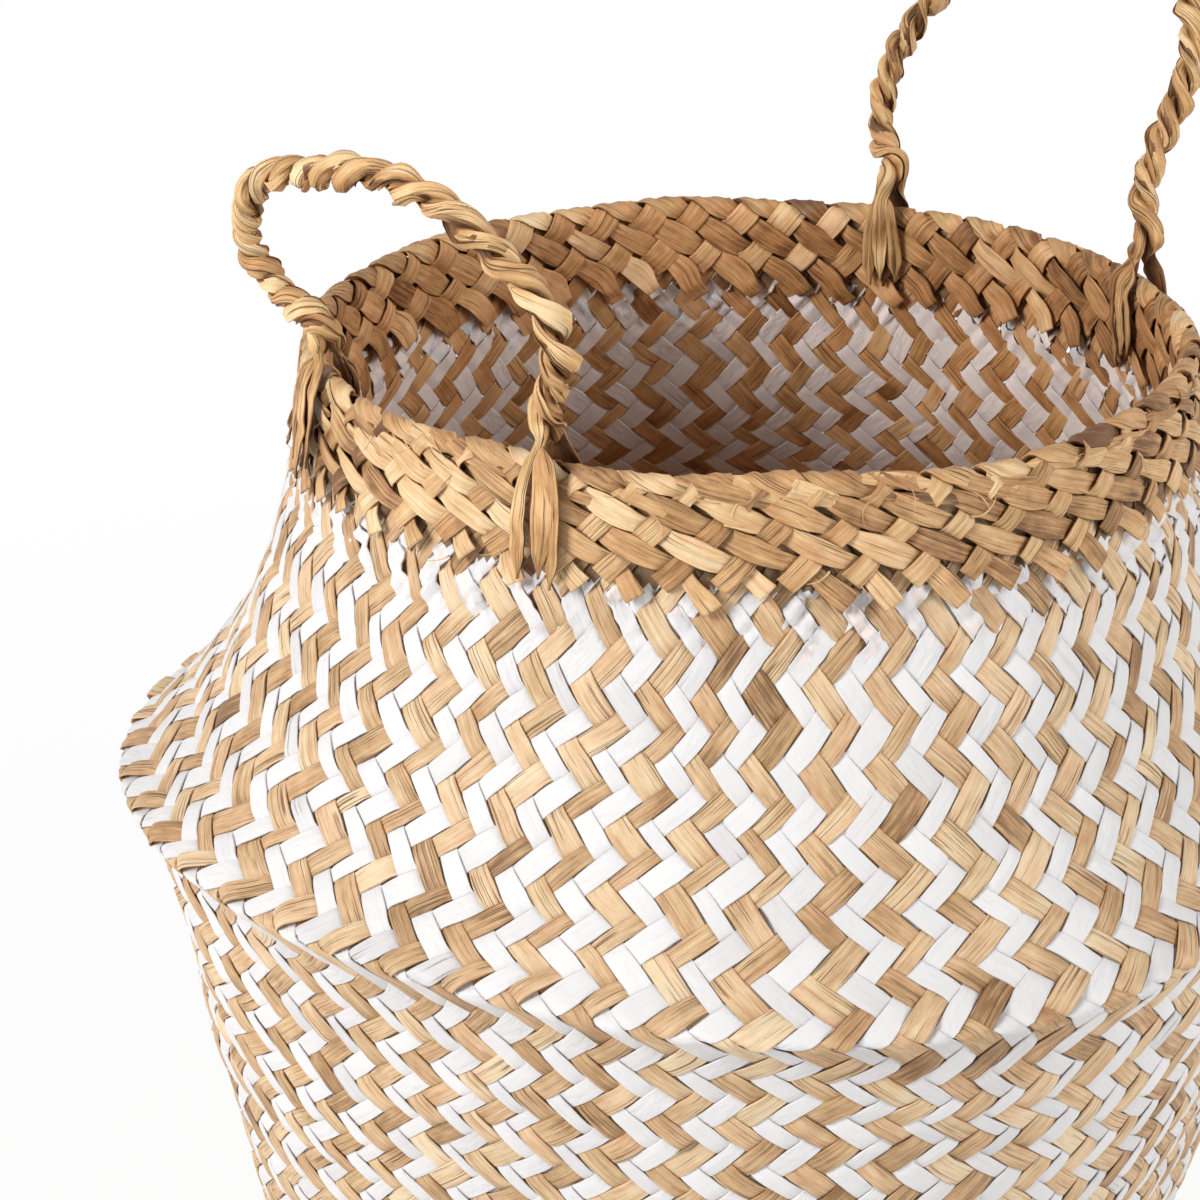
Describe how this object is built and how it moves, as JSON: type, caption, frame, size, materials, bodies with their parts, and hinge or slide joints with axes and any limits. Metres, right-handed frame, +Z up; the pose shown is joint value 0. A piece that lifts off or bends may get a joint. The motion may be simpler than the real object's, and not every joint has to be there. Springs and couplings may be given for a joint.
{
  "type": "belly basket",
  "caption": "Plaited belly basket folded outward at its belly, with a natural rim band and twisted rope handles that fold about their feet.",
  "frame": {"origin": "middle of the flat underside, on the surface that the basket stands on", "axes": "+Z up out of the mouth; the handles stand at -X (left) and +X (right), each fold line runs along Y"},
  "size_m": [0.3356, 0.3372, 0.3804],
  "materials": {
    "white_strips": "matt white paint on plant strips",
    "natural_strips": "dry plant strips with fibres along them",
    "rim_strips": "wide dry plant strips",
    "rope": "twisted dry blades"
  },
  "bodies": {
    "basket": {"base_panel": "natural_strips", "lower_wall": "white_strips", "upper_wall": "white_strips", "outer_band": "rim_strips", "inner_band": "rim_strips", "rim_edge": "rim_strips", "left_front_outer_leg": "rope", "left_back_outer_leg": "rope", "left_front_inner_leg": "rope", "left_back_inner_leg": "rope", "right_front_outer_leg": "rope", "right_back_outer_leg": "rope", "right_front_inner_leg": "rope", "right_back_inner_leg": "rope"},
    "left_handle": {"left_handle_outer_ply": "rope", "left_handle_inner_ply": "rope"},
    "right_handle": {"right_handle_outer_ply": "rope", "right_handle_inner_ply": "rope"}
  },
  "joints": [
    {"name": "left_handle_fold", "type": "hinge", "parent": "basket", "child": "left_handle", "pos_m": [-0.10706, 0, 0.2955], "axis": [0, 1, 0], "range_deg": [-57, 93]},
    {"name": "right_handle_fold", "type": "hinge", "parent": "basket", "child": "right_handle", "pos_m": [0.10518, 0, 0.2955], "axis": [0, -1, 0], "range_deg": [-57, 93]}
  ]
}
